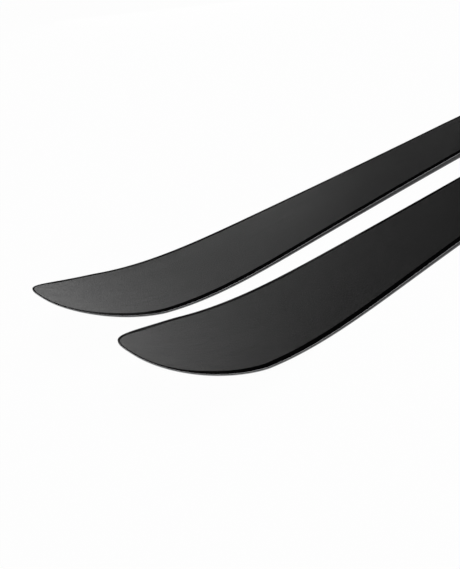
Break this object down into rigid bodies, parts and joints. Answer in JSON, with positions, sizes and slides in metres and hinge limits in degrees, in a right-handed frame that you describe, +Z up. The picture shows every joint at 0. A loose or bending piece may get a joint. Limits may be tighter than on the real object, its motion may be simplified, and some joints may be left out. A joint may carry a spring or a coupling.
{
  "type": "alpine skis with bindings",
  "caption": "Pair of shaped black alpine skis with turned-up tips, layered sides and step-in bindings with toe wings, opening heel and ski brake.",
  "frame": {"origin": "on the ground plane, midway between the two skis, at the middle of their length", "axes": "+X to the tips, +Y to the left ski, +Z up"},
  "size_m": [1.84, 0.2784, 0.0939],
  "materials": {
    "running_base": "sintered black polyethylene, waxed",
    "edge_steel": "ground steel",
    "dark_sheet": "dark rubber and fibre sheet",
    "wood_core": "laminated pale wood",
    "sidewall": "grey-black ABS, ground",
    "light_metal": "cut aluminium alloy",
    "gloss_black": "polished black shoulder",
    "topsheet": "matte black with a fine lengthwise grain",
    "steel": "zinc-plated steel",
    "spring_steel": "oiled spring steel",
    "black_plastic": "fine-grained moulded plastic",
    "glide_plate": "slick pale plastic",
    "foot_plastic": "tough moulded plastic"
  },
  "bodies": {
    "left_ski": {"left_base": "running_base", "left_steel_edges": "edge_steel", "left_lower_sheet": "dark_sheet", "left_core": "wood_core", "left_sidewalls": "sidewall", "left_upper_sheet": "light_metal", "left_shoulders": "gloss_black", "left_topsheet": "topsheet", "left_binding_screws": "steel", "left_toe_base": "black_plastic", "left_toe_housing": "black_plastic", "left_wing_pins": "steel", "left_toe_spring": "spring_steel", "left_heel_track": "black_plastic"},
    "left_wing_left": {"left_toe_wing_left": "black_plastic"},
    "left_wing_right": {"left_toe_wing_right": "black_plastic"},
    "left_piston": {"left_toe_piston": "steel"},
    "left_toe_setting": {"left_toe_setting_screw": "light_metal"},
    "left_afd": {"left_afd_plate": "glide_plate"},
    "left_heel_slide": {"left_heel_carriage": "black_plastic", "left_heel_pin": "steel"},
    "left_length_setting": {"left_length_screw": "steel"},
    "left_heel": {"left_heel_housing": "black_plastic", "left_lever_pin": "steel", "left_heel_spring": "spring_steel"},
    "left_heel_setting": {"left_heel_setting_screw": "light_metal"},
    "left_lever": {"left_heel_lever": "black_plastic"},
    "left_brake": {"left_brake_arms": "steel", "left_brake_feet": "foot_plastic", "left_brake_pedal": "black_plastic"},
    "right_ski": {"right_base": "running_base", "right_steel_edges": "edge_steel", "right_lower_sheet": "dark_sheet", "right_core": "wood_core", "right_sidewalls": "sidewall", "right_upper_sheet": "light_metal", "right_shoulders": "gloss_black", "right_topsheet": "topsheet", "right_binding_screws": "steel", "right_toe_base": "black_plastic", "right_toe_housing": "black_plastic", "right_wing_pins": "steel", "right_toe_spring": "spring_steel", "right_heel_track": "black_plastic"},
    "right_wing_left": {"right_toe_wing_left": "black_plastic"},
    "right_wing_right": {"right_toe_wing_right": "black_plastic"},
    "right_piston": {"right_toe_piston": "steel"},
    "right_toe_setting": {"right_toe_setting_screw": "light_metal"},
    "right_afd": {"right_afd_plate": "glide_plate"},
    "right_heel_slide": {"right_heel_carriage": "black_plastic", "right_heel_pin": "steel"},
    "right_length_setting": {"right_length_screw": "steel"},
    "right_heel": {"right_heel_housing": "black_plastic", "right_lever_pin": "steel", "right_heel_spring": "spring_steel"},
    "right_heel_setting": {"right_heel_setting_screw": "light_metal"},
    "right_lever": {"right_heel_lever": "black_plastic"},
    "right_brake": {"right_brake_arms": "steel", "right_brake_feet": "foot_plastic", "right_brake_pedal": "black_plastic"}
  },
  "joints": [
    {"name": "left_wing_left_open", "type": "hinge", "parent": "left_ski", "child": "left_wing_left", "pos_m": [0.06, 0.101, 0.039], "axis": [0, 0, -1], "range_deg": [0, 28.1]},
    {"name": "left_wing_right_open", "type": "hinge", "parent": "left_ski", "child": "left_wing_right", "pos_m": [0.06, 0.047, 0.039], "axis": [0, 0, 1], "range_deg": [0, 28.1]},
    {"name": "left_piston_pull", "type": "slide", "parent": "left_ski", "child": "left_piston", "axis": [-1, 0, 0], "range_m": [0, 0.00528], "stiffness_N_per_m": 6000, "deforming": ["left_toe_spring"]},
    {"name": "left_toe_setting_turn", "type": "hinge", "parent": "left_piston", "child": "left_toe_setting", "pos_m": [0.096, 0.074, 0.039], "axis": [1, 0, 0], "continuous": true},
    {"name": "left_afd_glide", "type": "slide", "parent": "left_ski", "child": "left_afd", "axis": [0, 1, 0], "range_m": [-0.006, 0.006], "stiffness_N_per_m": 400},
    {"name": "left_heel_length", "type": "slide", "parent": "left_ski", "child": "left_heel_slide", "axis": [1, 0, 0], "range_m": [-0.012, 0.012]},
    {"name": "left_length_turn", "type": "hinge", "parent": "left_heel_slide", "child": "left_length_setting", "pos_m": [-0.3345, 0.074, 0.0232], "axis": [1, 0, 0], "continuous": true},
    {"name": "left_heel_open", "type": "hinge", "parent": "left_heel_slide", "child": "left_heel", "pos_m": [-0.3045, 0.074, 0.0357], "axis": [0, -1, 0], "range_deg": [0, 42]},
    {"name": "left_heel_setting_turn", "type": "hinge", "parent": "left_heel", "child": "left_heel_setting", "pos_m": [-0.3265, 0.074, 0.0577], "axis": [1, 0, 0], "continuous": true},
    {"name": "left_lever_press", "type": "hinge", "parent": "left_heel", "child": "left_lever", "pos_m": [-0.3125, 0.074, 0.0812], "axis": [0, -1, 0], "range_deg": [0, 8.6]},
    {"name": "left_brake_drop", "type": "hinge", "parent": "left_heel_slide", "child": "left_brake", "pos_m": [-0.232, 0.074, 0.0265], "axis": [0, -1, 0], "range_deg": [0, 68]},
    {"name": "right_wing_left_open", "type": "hinge", "parent": "right_ski", "child": "right_wing_left", "pos_m": [0.06, -0.047, 0.039], "axis": [0, 0, -1], "range_deg": [0, 28.1]},
    {"name": "right_wing_right_open", "type": "hinge", "parent": "right_ski", "child": "right_wing_right", "pos_m": [0.06, -0.101, 0.039], "axis": [0, 0, 1], "range_deg": [0, 28.1]},
    {"name": "right_piston_pull", "type": "slide", "parent": "right_ski", "child": "right_piston", "axis": [-1, 0, 0], "range_m": [0, 0.00528], "stiffness_N_per_m": 6000, "deforming": ["right_toe_spring"]},
    {"name": "right_toe_setting_turn", "type": "hinge", "parent": "right_piston", "child": "right_toe_setting", "pos_m": [0.096, -0.074, 0.039], "axis": [1, 0, 0], "continuous": true},
    {"name": "right_afd_glide", "type": "slide", "parent": "right_ski", "child": "right_afd", "axis": [0, 1, 0], "range_m": [-0.006, 0.006], "stiffness_N_per_m": 400},
    {"name": "right_heel_length", "type": "slide", "parent": "right_ski", "child": "right_heel_slide", "axis": [1, 0, 0], "range_m": [-0.012, 0.012]},
    {"name": "right_length_turn", "type": "hinge", "parent": "right_heel_slide", "child": "right_length_setting", "pos_m": [-0.3345, -0.074, 0.0232], "axis": [1, 0, 0], "continuous": true},
    {"name": "right_heel_open", "type": "hinge", "parent": "right_heel_slide", "child": "right_heel", "pos_m": [-0.3045, -0.074, 0.0357], "axis": [0, -1, 0], "range_deg": [0, 42]},
    {"name": "right_heel_setting_turn", "type": "hinge", "parent": "right_heel", "child": "right_heel_setting", "pos_m": [-0.3265, -0.074, 0.0577], "axis": [1, 0, 0], "continuous": true},
    {"name": "right_lever_press", "type": "hinge", "parent": "right_heel", "child": "right_lever", "pos_m": [-0.3125, -0.074, 0.0812], "axis": [0, -1, 0], "range_deg": [0, 8.6]},
    {"name": "right_brake_drop", "type": "hinge", "parent": "right_heel_slide", "child": "right_brake", "pos_m": [-0.232, -0.074, 0.0265], "axis": [0, -1, 0], "range_deg": [0, 68]},
    {"name": "right_ski_lift", "type": "slide", "parent": "left_ski", "child": "right_ski", "axis": [0, 0, 1], "range_m": [0, 0.3]}
  ],
  "couplings": [
    {"joint": "left_wing_left_open", "follows": "left_piston_pull", "rad_per_m": 92.6},
    {"joint": "left_wing_right_open", "follows": "left_piston_pull", "rad_per_m": 92.6},
    {"joint": "left_lever_press", "follows": "left_heel_open", "ratio": 0.2},
    {"joint": "left_brake_drop", "follows": "left_heel_open", "ratio": 1.6},
    {"joint": "right_wing_left_open", "follows": "right_piston_pull", "rad_per_m": 92.6},
    {"joint": "right_wing_right_open", "follows": "right_piston_pull", "rad_per_m": 92.6},
    {"joint": "right_lever_press", "follows": "right_heel_open", "ratio": 0.2},
    {"joint": "right_brake_drop", "follows": "right_heel_open", "ratio": 1.6}
  ]
}
